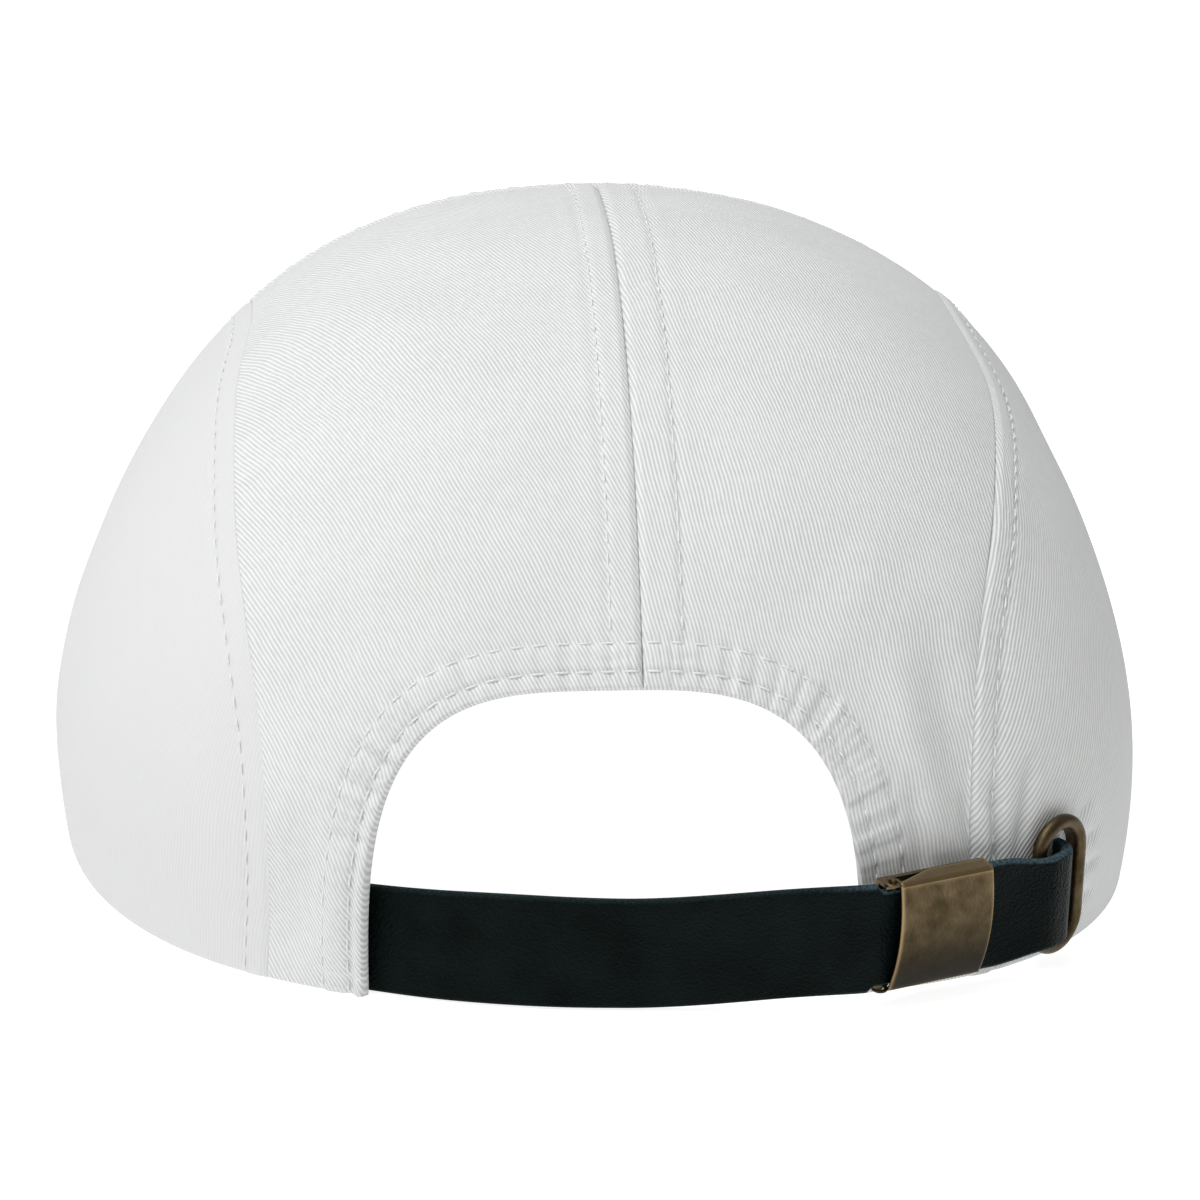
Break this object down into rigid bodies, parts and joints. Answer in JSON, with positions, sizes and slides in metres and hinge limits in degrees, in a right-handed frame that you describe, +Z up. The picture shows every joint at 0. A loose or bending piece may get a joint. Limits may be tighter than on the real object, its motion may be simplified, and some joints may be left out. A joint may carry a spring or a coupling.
{
  "type": "five panel cap",
  "caption": "White cotton twill cap with a low rounded crown, a short stiff peak, an arch opening at the back, and a black leather strap with a brass flip clasp and an oblong brass eyelet.",
  "frame": {"origin": "Middle of the cap's own box, on the surface that it rests on.", "axes": "+Y is forward, the way the peak points. +Z is up, from the hem to the top of the crown. +X is the wearer's right, the side of the clasp."},
  "size_m": [0.1724, 0.267, 0.0986],
  "materials": {
    "white_twill": "matte",
    "black_leather": "satin",
    "aged_brass": "satin"
  },
  "bodies": {
    "cap": {"front_panel": "white_twill", "side_panel_left": "white_twill", "side_panel_right": "white_twill", "back_panel_left": "white_twill", "back_panel_right": "white_twill", "peak": "white_twill", "strap": "black_leather", "clasp_frame": "aged_brass", "slot_eyelet": "aged_brass"},
    "lever": {"clasp_lever": "aged_brass"}
  },
  "joints": [
    {"name": "clasp_hinge", "type": "hinge", "parent": "cap", "child": "lever", "pos_m": [0.03817, -0.13056, 0.01176], "axis": [-0.0749, 0.1605, -0.9842], "range_deg": [0, 90]}
  ]
}
